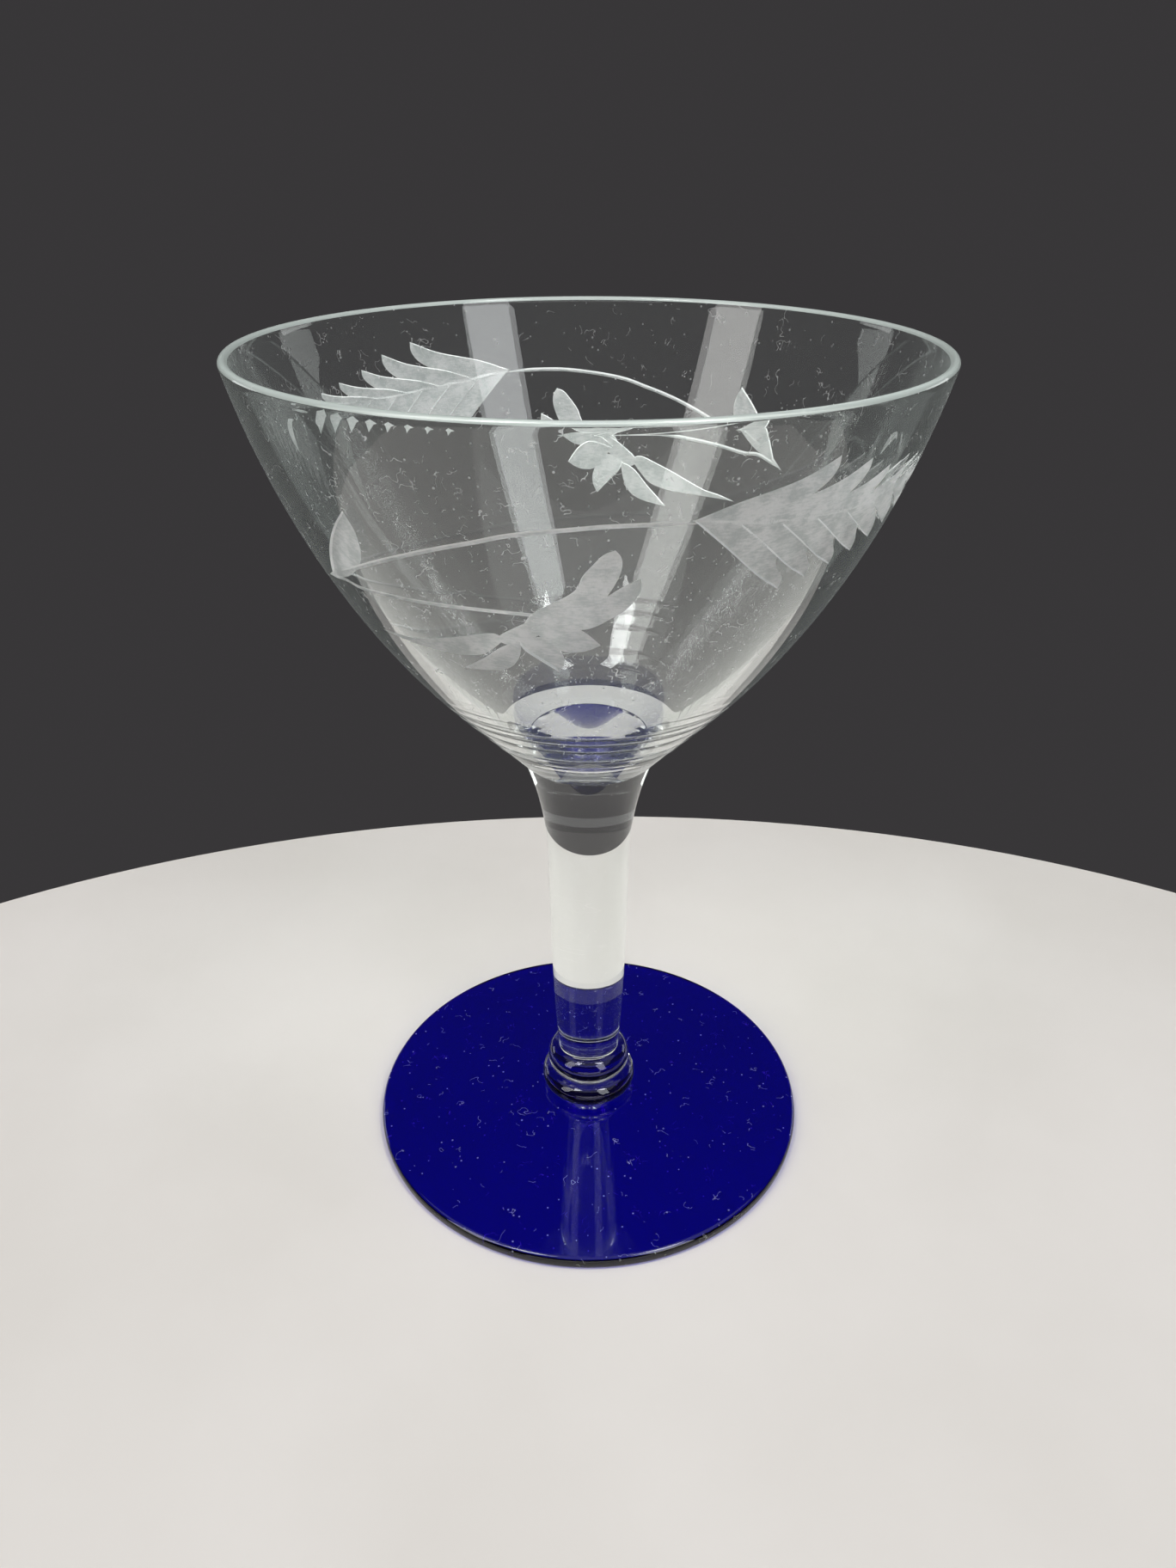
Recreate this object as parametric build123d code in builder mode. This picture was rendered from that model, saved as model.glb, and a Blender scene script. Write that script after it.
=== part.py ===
from build123d import *
from math import cos, radians, sin
import os

# Stemmed cocktail glass: clear bowl, stem, knop and wafer on a cobalt blue foot.
# Millimetres, +Z up. The origin is the centre of the foot's resting plane, on the
# axis of the glass. Every piece is a solid of revolution about that axis, and each
# one sits face to face on the piece below it.

# Overall sizes
glass_height = 130.0
rim_diameter = 91.0
foot_diameter = 74.0

# Foot: a disc that rises gently to a flat pad, hollowed below so it rests on a ring
foot_edge_thickness = 2.2
foot_edge_round = 0.9
foot_rise = 2.4
foot_sag = 0.35
pad_margin = 1.2
dish_depth = 1.0
rest_ring_width = 4.0

# Wafer: flattened round disc between the foot and the knop
wafer_thickness = 4.0
wafer_radius = 8.15

# Knop: round bead under the stem. Its underside stands a step inside the wafer's face.
knop_height = 4.8
knop_radius = 7.1
knop_top_radius = 5.3
knop_seat_step = 0.1

# Stem: shank that tapers down to the knop and flares up to the bowl. It stands a
# step inside the knop's top face, and its own top ends a step inside the bowl's seat.
stem_waist_radius = 6.45
stem_flare_height = 19.0
stem_seat_step = 0.1
stem_top_step = 0.2

# Bowl: thick base, straight lower flank, then one long curve up to a rounded rim
bowl_depth = 59.0
bowl_seat_radius = 10.2
flank_angle = 43.3
flank_length = 13.0
flank_wall = 2.4
rim_wall = 1.2
base_thickness = 4.5
floor_round = 12.0

# Heights of the joints between the pieces
foot_pad_height = foot_edge_thickness + foot_rise
wafer_top = foot_pad_height + wafer_thickness
knop_top = wafer_top + knop_height
bowl_seat_height = glass_height - bowl_depth
stem_waist_height = bowl_seat_height - stem_flare_height
bowl_floor_height = bowl_seat_height + base_thickness

# Radii that follow from the sizes above
rim_radius = rim_diameter / 2
foot_radius = foot_diameter / 2
pad_radius = wafer_radius + pad_margin
dish_radius = foot_radius - foot_edge_round - rest_ring_width
wafer_edge_round = wafer_thickness / 2
wafer_face_radius = wafer_radius - wafer_edge_round
knop_bottom_radius = wafer_face_radius - knop_seat_step
stem_bottom_radius = knop_top_radius - stem_seat_step
stem_top_radius = bowl_seat_radius - stem_top_step


# Foot
with BuildPart() as foot:
    with BuildSketch(Plane.XZ) as foot_outline:
        with BuildLine():
            TangentArc((0, dish_depth), (dish_radius, 0), tangent=(1, 0))
            Polyline(
                (dish_radius, 0),
                (foot_radius, 0),
                (foot_radius, foot_edge_thickness),
            )
            SagittaArc(
                (foot_radius, foot_edge_thickness),
                (pad_radius, foot_pad_height),
                foot_sag,
            )
            Polyline(
                (pad_radius, foot_pad_height),
                (0, foot_pad_height),
                (0, dish_depth),
            )
        make_face()
        fillet(foot_outline.vertices().group_by(Axis.X)[-1], foot_edge_round)
    revolve(axis=Axis.Z)


# Wafer
with BuildPart() as wafer:
    with BuildSketch(Plane.XZ):
        with BuildLine():
            ThreePointArc(
                (wafer_face_radius, foot_pad_height),
                (wafer_radius, foot_pad_height + wafer_edge_round),
                (wafer_face_radius, wafer_top),
            )
            Polyline(
                (wafer_face_radius, wafer_top),
                (0, wafer_top),
                (0, foot_pad_height),
                (wafer_face_radius, foot_pad_height),
            )
        make_face()
    revolve(axis=Axis.Z)


# Knop
with BuildPart() as knop:
    with BuildSketch(Plane.XZ):
        with BuildLine():
            ThreePointArc(
                (knop_bottom_radius, wafer_top),
                (knop_radius, wafer_top + knop_height / 2),
                (knop_top_radius, knop_top),
            )
            Polyline(
                (knop_top_radius, knop_top),
                (0, knop_top),
                (0, wafer_top),
                (knop_bottom_radius, wafer_top),
            )
        make_face()
    revolve(axis=Axis.Z)


# Stem
with BuildPart() as stem:
    with BuildSketch(Plane.XZ):
        with BuildLine():
            waist = (stem_waist_radius, stem_waist_height)
            TangentArc(waist, (stem_bottom_radius, knop_top), tangent=(0, -1))
            TangentArc(waist, (stem_top_radius, bowl_seat_height), tangent=(0, 1))
            Polyline(
                (stem_top_radius, bowl_seat_height),
                (0, bowl_seat_height),
                (0, knop_top),
                (stem_bottom_radius, knop_top),
            )
        make_face()
    revolve(axis=Axis.Z)


# Bowl
flank_out = sin(radians(flank_angle))
flank_up = cos(radians(flank_angle))

# Top end of the straight flank, on the outside and on the inside of the wall
flank_end = (
    bowl_seat_radius + flank_length * flank_out,
    bowl_seat_height + flank_length * flank_up,
)
inner_flank_end = (
    flank_end[0] - flank_wall * flank_up,
    flank_end[1] + flank_wall * flank_out,
)

# Where the inner flank, carried on down, meets the level of the floor
floor_drop = inner_flank_end[1] - bowl_floor_height
floor_corner = (inner_flank_end[0] - floor_drop * flank_out / flank_up, bowl_floor_height)

rim_round = rim_wall / 2
rim_spring = glass_height - rim_round

with BuildPart() as bowl:
    with BuildSketch(Plane.XZ):
        with BuildLine():
            Line((bowl_seat_radius, bowl_seat_height), flank_end)
            TangentArc(flank_end, (rim_radius, rim_spring), tangent=(flank_out, flank_up))
            ThreePointArc(
                (rim_radius, rim_spring),
                (rim_radius - rim_round, glass_height),
                (rim_radius - rim_wall, rim_spring),
            )
            TangentArc(
                inner_flank_end,
                (rim_radius - rim_wall, rim_spring),
                tangent=(flank_out, flank_up),
            )
            FilletPolyline(
                inner_flank_end,
                floor_corner,
                (0, bowl_floor_height),
                radius=floor_round,
            )
            Polyline(
                (0, bowl_floor_height),
                (0, bowl_seat_height),
                (bowl_seat_radius, bowl_seat_height),
            )
        make_face()
    revolve(axis=Axis.Z)


os.makedirs("parts", exist_ok=True)

foot.part.label = "foot"
wafer.part.label = "wafer"
knop.part.label = "knop"
stem.part.label = "stem"
bowl.part.label = "bowl"

export_step(foot.part, "parts/foot.step")
export_step(wafer.part, "parts/wafer.step")
export_step(knop.part, "parts/knop.step")
export_step(stem.part, "parts/stem.step")
export_step(bowl.part, "parts/bowl.step")
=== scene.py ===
# %% [markdown]
# # A martini glass: clear cut bowl, cobalt blue foot
# This lesson dresses a finished CAD frame. The frame holds five solids, all round about
# the Z axis: foot, wafer, knop, stem and bowl. Here each gets a fine, smooth skin and a
# glass material, and the bowl gets its wheel-cut flowers. Lengths are in metres, so most
# sizes are written as a number times MM.

# %% Load the frame
import math
import random

import bmesh
import bpy
import numpy as np
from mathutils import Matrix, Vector
from mathutils.geometry import delaunay_2d_cdt


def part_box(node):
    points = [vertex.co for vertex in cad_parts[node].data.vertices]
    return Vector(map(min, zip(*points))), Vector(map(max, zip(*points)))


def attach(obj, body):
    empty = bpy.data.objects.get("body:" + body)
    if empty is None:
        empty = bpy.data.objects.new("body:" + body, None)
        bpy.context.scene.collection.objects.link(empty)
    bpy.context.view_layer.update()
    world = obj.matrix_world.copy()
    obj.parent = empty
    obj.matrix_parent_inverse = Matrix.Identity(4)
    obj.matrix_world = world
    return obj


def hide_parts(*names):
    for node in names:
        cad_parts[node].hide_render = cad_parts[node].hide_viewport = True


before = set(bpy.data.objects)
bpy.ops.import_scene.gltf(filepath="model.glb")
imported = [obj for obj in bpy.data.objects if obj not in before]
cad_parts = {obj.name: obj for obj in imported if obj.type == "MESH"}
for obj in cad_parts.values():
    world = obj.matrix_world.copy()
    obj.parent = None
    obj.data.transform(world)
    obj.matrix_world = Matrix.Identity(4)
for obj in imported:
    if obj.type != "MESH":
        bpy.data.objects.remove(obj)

bpy.context.view_layer.update()
MM = 0.001

# %% [markdown]
# ## Heights and radii
# Every height where two pieces meet is read from the CAD boxes, so a piece always lands
# on its neighbour. What a box can't tell, such as how far a flare reaches, is a named size.

# %% Sizes from the frame
def bottom_top(node):
    low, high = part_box(node)
    return low[2], high[2]


def widest_radius(node):
    """The smallest of the box's four reaches, so that a finer circle stays inside it."""
    low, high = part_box(node)
    return min(-low[0], -low[1], high[0], high[1])


rest_height, pad_height = bottom_top("foot")
wafer_top = bottom_top("wafer")[1]
knop_top = bottom_top("knop")[1]
seat_height, rim_height = bottom_top("bowl")
foot_radius = widest_radius("foot")
wafer_radius = widest_radius("wafer")
knop_radius = widest_radius("knop")
stem_top_radius = widest_radius("stem")
rim_radius = widest_radius("bowl")
levels = (rest_height, pad_height, wafer_top, knop_top, seat_height, rim_height)
print("joints at", [round(z / MM, 2) for z in levels], "mm")

# %% [markdown]
# ## Outlines
# A turned shape is an outline spun about the axis. An outline is a list of (radius,
# height) points made from straight runs and arcs. Two kinds of arc do all the work here:
# one that leaves a point in a given direction, and one that passes through a middle point.

# %% Straight runs and arcs
def run(start, end, steps=1):
    """A straight run in even steps."""
    return [
        (start[0] + (end[0] - start[0]) * i / steps, start[1] + (end[1] - start[1]) * i / steps)
        for i in range(steps + 1)
    ]


def circle_through(a, b, c):
    """Centre of the circle through three points."""
    d = 2 * (a[0] * (b[1] - c[1]) + b[0] * (c[1] - a[1]) + c[0] * (a[1] - b[1]))
    squares = [p[0] ** 2 + p[1] ** 2 for p in (a, b, c)]
    x = (squares[0] * (b[1] - c[1]) + squares[1] * (c[1] - a[1]) + squares[2] * (a[1] - b[1])) / d
    y = (squares[0] * (c[0] - b[0]) + squares[1] * (a[0] - c[0]) + squares[2] * (b[0] - a[0])) / d
    return (x, y)


def sweep(centre, start, end, through, steps):
    """Points on a circle from start to end, going round by way of through."""
    angle = [math.atan2(p[1] - centre[1], p[0] - centre[0]) for p in (start, through, end)]
    radius = math.dist(centre, start)
    whole, part = (angle[2] - angle[0]) % math.tau, (angle[1] - angle[0]) % math.tau
    turn = whole if part <= whole else whole - math.tau
    return [
        (centre[0] + radius * math.cos(angle[0] + turn * i / steps),
         centre[1] + radius * math.sin(angle[0] + turn * i / steps))
        for i in range(steps + 1)
    ]


def arc_by_way_of(start, middle, end, steps):
    return sweep(circle_through(start, middle, end), start, end, middle, steps)


def leaving_arc_centre(start, direction, end):
    """Centre of the circle that leaves start along direction and reaches end."""
    chord = (end[0] - start[0], end[1] - start[1])
    normal = (-direction[1], direction[0])
    reach = (chord[0] ** 2 + chord[1] ** 2) / (2 * (chord[0] * normal[0] + chord[1] * normal[1]))
    return (start[0] + normal[0] * reach, start[1] + normal[1] * reach)


def leaving_arc(start, direction, end, steps):
    """The arc that leaves start along direction and ends at end."""
    centre = leaving_arc_centre(start, direction, end)
    radius = math.dist(centre, start)
    middle = ((start[0] + end[0]) / 2 - centre[0], (start[1] + end[1]) / 2 - centre[1])
    length = math.hypot(*middle)
    through = (centre[0] + middle[0] / length * radius, centre[1] + middle[1] / length * radius)
    return sweep(centre, start, end, through, steps)


def joined(*parts):
    """One outline from several, without the doubled points where they meet."""
    outline = list(parts[0])
    for part in parts[1:]:
        outline += part[1:]
    return outline


print("a quarter circle in two steps:", arc_by_way_of((1, 0), (0.6, 0.8), (0, 1), 2))

# %% [markdown]
# ## The five outlines
# The foot is pressed and polished: hollow below so it stands on a ring, a rounded edge, and
# a top that dips a little on its way up to a flat pad. The wafer and the knop are beads of
# clear glass squeezed between foot and stem. The stem is drawn out of hot glass, so its
# sides are long arcs with no corner in them. Each piece stands a small step inside the
# face below it, as it does in the CAD.

# %% Foot, wafer, knop and stem outlines, in millimetres
foot_r, foot_pad = foot_radius / MM, pad_height / MM
wafer_r, wafer_high = wafer_radius / MM, wafer_top / MM
knop_r, knop_high = knop_radius / MM, knop_top / MM
seat_high, rim_high = seat_height / MM, rim_height / MM
stem_top_r, rim_r = stem_top_radius / MM, rim_radius / MM

EDGE_HEIGHT, EDGE_ROUND, TOP_DIP = 2.2, 0.9, 0.35
DISH_DEPTH, REST_RING_WIDTH, PAD_MARGIN = 1.0, 4.0, 1.2
dish_r = foot_r - EDGE_ROUND - REST_RING_WIDTH
pad_r = wafer_r + PAD_MARGIN
wafer_face_r = wafer_r - 2.0
knop_foot_r, knop_top_r, stem_foot_r = wafer_face_r - 0.1, 5.3, 5.2
WAIST_R, FLARE_HEIGHT = 6.45, 19.0
SEAM_GAP = 0.006  # so that two fused faces are never in exactly the same place


def softened(corner, before, after, radius, steps):
    """The arc that rounds a corner between the directions of its neighbours."""
    to_before = (Vector(before) - Vector(corner)).normalized()
    to_after = (Vector(after) - Vector(corner)).normalized()
    half = to_before.angle(to_after) / 2
    start = Vector(corner) + to_before * (radius / math.tan(half))
    end = Vector(corner) + to_after * (radius / math.tan(half))
    centre = Vector(corner) + (to_before + to_after).normalized() * (radius / math.sin(half))
    through = centre + (Vector(corner) - centre).normalized() * radius
    return sweep(tuple(centre), tuple(start), tuple(end), tuple(through), steps)


edge_top, pad_edge = Vector((foot_r, EDGE_HEIGHT)), Vector((pad_r, foot_pad))
inward = Vector((EDGE_HEIGHT - foot_pad, pad_r - foot_r)).normalized() * TOP_DIP
dip = (edge_top + pad_edge) / 2 + inward
foot_top = arc_by_way_of(tuple(edge_top), tuple(dip), tuple(pad_edge), 60)
ALONG = 5.0  # how far off the points are that only give softened() a direction
lower_edge = softened((foot_r, 0), (foot_r - ALONG, 0), (foot_r, ALONG), EDGE_ROUND, 10)
upper_edge = softened(tuple(edge_top), (foot_r, 0), foot_top[2], EDGE_ROUND, 10)
foot_outline = joined(
    leaving_arc((0, DISH_DEPTH), (1, 0), (dish_r, 0), 48),
    run((dish_r, 0), (foot_r - EDGE_ROUND, 0), 3),
    lower_edge,
    [(foot_r, EDGE_ROUND)] + upper_edge,
    [foot_top[0]] + [p for p in foot_top if p[0] < upper_edge[-1][0] - 0.05],
    run((pad_r, foot_pad), (wafer_face_r, foot_pad), 3),
    run((wafer_face_r, foot_pad), (0, foot_pad), 2),
)
wafer_outline = joined(
    run((0, foot_pad + SEAM_GAP), (wafer_face_r, foot_pad + SEAM_GAP), 2),
    arc_by_way_of((wafer_face_r, foot_pad + SEAM_GAP), (wafer_r, (foot_pad + wafer_high) / 2),
                  (wafer_face_r, wafer_high), 32),
    run((wafer_face_r, wafer_high), (0, wafer_high), 2),
)
knop_outline = joined(
    run((0, wafer_high + SEAM_GAP), (knop_foot_r, wafer_high + SEAM_GAP), 2),
    arc_by_way_of((knop_foot_r, wafer_high + SEAM_GAP), (knop_r, (wafer_high + knop_high) / 2),
                  (knop_top_r, knop_high), 48),
    run((knop_top_r, knop_high), (stem_foot_r, knop_high)),
    run((stem_foot_r, knop_high), (0, knop_high), 2),
)
waist = (WAIST_R, seat_high - FLARE_HEIGHT)
stem_outline = joined(
    run((0, knop_high + SEAM_GAP), (stem_foot_r, knop_high + SEAM_GAP), 2),
    leaving_arc(waist, (0, -1), (stem_foot_r, knop_high + SEAM_GAP), 40)[::-1],
    leaving_arc(waist, (0, 1), (stem_top_r, seat_high), 40),
    run((stem_top_r, seat_high), (0, seat_high), 2),
)
outlines = {
    "foot": foot_outline, "wafer": wafer_outline, "knop": knop_outline, "stem": stem_outline,
}
for name, outline in outlines.items():
    widest = max(p[0] for p in outline)
    print(name, "outline:", len(outline), "points, widest", round(widest, 3), "mm")

# %% [markdown]
# The bowl's wall is a straight flank that turns without a corner into one long curve, on
# both faces. Five shallow rings run round the foot of the flank, where a tool held the
# spinning bowl. They are pressed into the outline itself, so they bend light as real
# rings do. The outline leaves a gap where the wheel-cut flowers go, which is meshed later.

# %% Bowl outline, in millimetres
flank_angle = math.radians(43.3)
flank_out, flank_up = math.sin(flank_angle), math.cos(flank_angle)
flank_length, flank_wall, rim_wall = 13.0, 2.4, 1.2
seat_r, base_thickness, floor_round = 10.2, 4.5, 12.0
floor_high = seat_high + base_thickness
flank_end = (seat_r + flank_length * flank_out, seat_high + flank_length * flank_up)
inner_flank_end = (flank_end[0] - flank_wall * flank_up, flank_end[1] + flank_wall * flank_out)
rim_spring = rim_high - rim_wall / 2
wall_centre = leaving_arc_centre(flank_end, (flank_out, flank_up), (rim_r, rim_spring))
wall_curve = math.dist(wall_centre, flank_end)
band_low, band_high = 96.0, 126.0  # the flowers lie between these heights

RINGS_END = 86.0
RINGS = (76.9, 78.8, 81.7, 83.6, 85.2)
RING_DEPTH, RING_WIDTH = 0.09, 0.62


def wall_angle(height):
    """The angle on the wall's long curve at a height."""
    return math.asin((height - wall_centre[1]) / wall_curve)


def outer_wall(low, high, steps):
    """The outside of the wall between two heights."""
    start, end = wall_angle(low), wall_angle(high)
    return [
        (wall_centre[0] + wall_curve * math.cos(start + (end - start) * i / steps),
         wall_centre[1] + wall_curve * math.sin(start + (end - start) * i / steps))
        for i in range(steps + 1)
    ]


def ring_marked(outline):
    """The outline with a shallow groove pressed in at each tool ring."""
    marked = []
    for r, z in outline:
        depth = 0.0
        for ring in RINGS:
            off = abs(z - ring) / (RING_WIDTH / 2)
            if off < 1:
                depth += RING_DEPTH * 0.5 * (1 + math.cos(math.pi * off))
        marked.append((r - depth * flank_up, z + depth * flank_out))
    return marked


floor_drop = inner_flank_end[1] - floor_high
floor_corner = (inner_flank_end[0] - floor_drop * flank_out / flank_up, floor_high)
cavity_corner = softened(floor_corner, (0, floor_high), inner_flank_end, floor_round, 24)
bowl_lower = joined(
    run((0, seat_high + SEAM_GAP), (stem_top_r, seat_high + SEAM_GAP), 2),
    run((stem_top_r, seat_high + SEAM_GAP), (seat_r, seat_high + SEAM_GAP)),
    ring_marked(joined(
        run((seat_r, seat_high + SEAM_GAP), flank_end, 70),
        outer_wall(flank_end[1], RINGS_END, 44),
        outer_wall(RINGS_END, band_low, 10),
    )),
)
bowl_upper = joined(
    outer_wall(band_high, rim_spring, 5),
    sweep((rim_r - rim_wall / 2, rim_spring), (rim_r, rim_spring), (rim_r - rim_wall, rim_spring),
          (rim_r - rim_wall / 2, rim_high), 16),
    leaving_arc(inner_flank_end, (flank_out, flank_up), (rim_r - rim_wall, rim_spring), 60)[::-1],
    run(inner_flank_end, cavity_corner[-1], 4),
    cavity_corner[::-1],
    run(cavity_corner[0], (0, floor_high), 3),
)
print("bowl wall curve", round(wall_curve, 1), "mm about", [round(c, 1) for c in wall_centre])
print("bowl outlines:", len(bowl_lower), "and", len(bowl_upper), "points")

# %% [markdown]
# ## Turning an outline with Geometry Nodes
# Every part of this glass was spun, so one node tree turns them all. It rolls up a flat
# grid: a row of the grid takes its radius and height from one point of the outline, and a
# column takes its angle. Merge by Distance then closes the seam and the poles. The Screw
# modifier could turn an outline too, but a tree has its sizes as named inputs and is
# built once.

# %% The turning tree
def new_tree(name, kind, inputs, outputs):
    """An empty node group with named sockets, and its two end nodes."""
    tree = bpy.data.node_groups.new(name, kind)
    for socket_name, socket_type, value in inputs:
        socket = tree.interface.new_socket(
            name=socket_name, in_out="INPUT", socket_type=socket_type)
        if value is not None:
            socket.default_value = value
    for socket_name, socket_type in outputs:
        tree.interface.new_socket(name=socket_name, in_out="OUTPUT", socket_type=socket_type)
    return tree, tree.nodes.new("NodeGroupInput"), tree.nodes.new("NodeGroupOutput")


def add(tree, kind, **settings):
    """A new node, with some of its properties set."""
    node = tree.nodes.new(kind)
    for key, value in settings.items():
        setattr(node, key, value)
    return node


def wire(tree, node, **sockets):
    """Sets or links inputs: _0 is the first socket, Vertices_X the one named "Vertices X"."""
    for key, value in sockets.items():
        index = int(key[1:]) if key[0] == "_" and key[1:].isdigit() else key.replace("_", " ")
        socket = node.inputs[index]
        if isinstance(value, bpy.types.NodeSocket):
            tree.links.new(value, socket)
        else:
            socket.default_value = value
    return node


def maths(tree, operation, a, b=None):
    """The result of a Math node on one or two values."""
    node = add(tree, "ShaderNodeMath", operation=operation)
    wire(tree, node, _0=a, **({} if b is None else {"_1": b}))
    return node.outputs[0]


SEGMENTS = 240
turning, given, result = new_tree(
    "turn an outline", "GeometryNodeTree",
    [("Outline", "NodeSocketGeometry", None), ("Segments", "NodeSocketInt", SEGMENTS),
     ("Weld Distance", "NodeSocketFloat", 1e-6), ("Glass", "NodeSocketMaterial", None)],
    [("Turned", "NodeSocketGeometry")],
)
size = add(turning, "GeometryNodeAttributeDomainSize", component="MESH")
wire(turning, size, Geometry=given.outputs["Outline"])
rows = size.outputs["Point Count"]
columns = maths(turning, "ADD", given.outputs["Segments"], 1.0)
grid = wire(turning, add(turning, "GeometryNodeMeshGrid"), Vertices_X=columns, Vertices_Y=rows)
index = add(turning, "GeometryNodeInputIndex").outputs[0]
row = maths(turning, "MODULO", index, rows)
column = maths(turning, "FLOOR", maths(turning, "DIVIDE", maths(turning, "SUBTRACT", index, row), rows))
angle = maths(turning, "MULTIPLY", maths(turning, "DIVIDE", column, given.outputs["Segments"]), math.tau)
place = add(turning, "GeometryNodeInputPosition").outputs[0]
sample = add(turning, "GeometryNodeSampleIndex", data_type="FLOAT_VECTOR", domain="POINT")
wire(turning, sample, Geometry=given.outputs["Outline"], Value=place, Index=row)
split = wire(turning, add(turning, "ShaderNodeSeparateXYZ"), _0=sample.outputs["Value"])
rolled = wire(
    turning, add(turning, "ShaderNodeCombineXYZ"),
    X=maths(turning, "MULTIPLY", split.outputs["X"], maths(turning, "COSINE", angle)),
    Y=maths(turning, "MULTIPLY", split.outputs["X"], maths(turning, "SINE", angle)),
    Z=split.outputs["Z"],
)
moved = wire(turning, add(turning, "GeometryNodeSetPosition"),
             Geometry=grid.outputs["Mesh"], Position=rolled.outputs[0])
welded = wire(turning, add(turning, "GeometryNodeMergeByDistance"),
              Geometry=moved.outputs[0], Distance=given.outputs["Weld Distance"])
realized = wire(turning, add(turning, "GeometryNodeRealizeInstances"), Geometry=welded.outputs[0])
coloured = wire(turning, add(turning, "GeometryNodeSetMaterial"),
                Geometry=realized.outputs[0], Material=given.outputs["Glass"])
turning.links.new(coloured.outputs[0], result.inputs["Turned"])


def turned(name, outline, glass):
    """An outline in millimetres, turned about the Z axis into a plain mesh in metres."""
    edge = bpy.data.meshes.new(name + " outline")
    places = [(r * MM, 0, z * MM) for r, z in outline]
    edge.from_pydata(places, [(i, i + 1) for i in range(len(outline) - 1)], [])
    blank = bpy.data.objects.new(name + " blank", edge)
    bpy.context.scene.collection.objects.link(blank)
    lathe = blank.modifiers.new("turn", "NODES")
    lathe.node_group = turning
    wanted = {"Segments": SEGMENTS, "Glass": glass}
    for item in turning.interface.items_tree:
        if item.item_type == "SOCKET" and item.in_out == "INPUT" and item.name in wanted:
            lathe[item.identifier] = wanted[item.name]
    depsgraph = bpy.context.evaluated_depsgraph_get()
    mesh = bpy.data.meshes.new_from_object(blank.evaluated_get(depsgraph))
    bpy.data.objects.remove(blank)
    mesh.name = name
    return mesh


print("turning tree:", len(turning.nodes), "nodes")

# %% [markdown]
# ## Drawing the wheel-cut flowers
# The pattern is ground into the outside of the bowl with small spinning wheels. Each touch
# of the wheel leaves a leaf-shaped facet: a steep wall along one edge and a floor that
# slopes up to nothing at the other. So a facet is drawn by its two edges, each from root
# to tip. Places are given as an angle round the bowl and a drop below the rim, then laid
# flat, as if the wall were unrolled on a table.

# %% Places on the unrolled wall
UNROLL_RADIUS = 40.0
CURVE_STEPS = 24     # steps between two given points of a smooth line
EDGE_SPACING = 0.34  # between the mesh points along a cut's edge
STEEP_WIDTH = 0.17   # of a facet's steep side
TAPER = 14           # a groove is at full width after a fourteenth of its length


def flat(turn, drop):
    """An angle in degrees and a drop below the rim in mm, as a place on the unrolled wall."""
    along = wall_curve * (wall_angle(rim_high - drop) - wall_angle(band_low))
    return (math.radians(turn) * UNROLL_RADIUS, along)


def smooth_line(points, spacing):
    """A smooth curve through the points, as an array with a point every spacing."""
    pts = np.array(points, float)
    padded = np.vstack([2 * pts[0] - pts[1], pts, 2 * pts[-1] - pts[-2]])
    line = [pts[0]]
    for i in range(len(pts) - 1):
        a, b, c, d = padded[i:i + 4]
        for t in np.linspace(0, 1, CURVE_STEPS + 1)[1:]:
            line.append(0.5 * (
                2 * b + (c - a) * t
                + (2 * a - 5 * b + 4 * c - d) * t ** 2
                + (3 * b - a - 3 * c + d) * t ** 3
            ))
    line = np.array(line)
    length = np.concatenate([[0], np.cumsum(np.hypot(*np.diff(line, axis=0).T))])
    stations = np.linspace(0, length[-1], max(3, int(round(length[-1] / spacing)) + 1))
    return np.column_stack([np.interp(stations, length, line[:, k]) for k in (0, 1)])


def side_of(line):
    """The direction square to a line, at each of its points."""
    ahead = np.gradient(line, axis=0)
    return np.column_stack([-ahead[:, 1], ahead[:, 0]]) / np.hypot(*ahead.T)[:, None]


def facet(steep_edge, soft_edge, depth=0.26):
    """A wheel facet between two edges; the soft one is given without its ends, which they share."""
    soft_edge = [steep_edge[0], *soft_edge, steep_edge[-1]]
    steep = smooth_line([flat(*p) for p in steep_edge], EDGE_SPACING)
    soft = smooth_line([flat(*p) for p in soft_edge], EDGE_SPACING)
    return {"steep": steep, "soft": soft, "depth": depth, "wall": STEEP_WIDTH}


def groove(path, width, depth=0.17):
    """A thin line cut by the rim of the wheel, tapered at both ends."""
    middle = smooth_line([flat(*p) for p in path], EDGE_SPACING)
    side = side_of(middle)
    reach = np.linspace(0, 1, len(middle))
    half = width / 2 * np.minimum(1, np.minimum(reach, 1 - reach) * TAPER)[:, None]
    return {
        "steep": middle + side * half, "soft": middle - side * half,
        "depth": depth, "wall": width / 2,
    }


band_top = flat(0, rim_high - band_high)[1]
print("the cut band is", round(flat(360, 0)[0], 1), "mm round and", round(band_top, 1), "mm high")

# %% [markdown]
# One motif holds a small leaf, two stem lines, a five-petalled flower with its long leaf,
# and a fern frond. The frond's leaflets follow a rule, so a loop cuts them: each is a step
# further along the midrib and a little shorter than the last.

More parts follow.
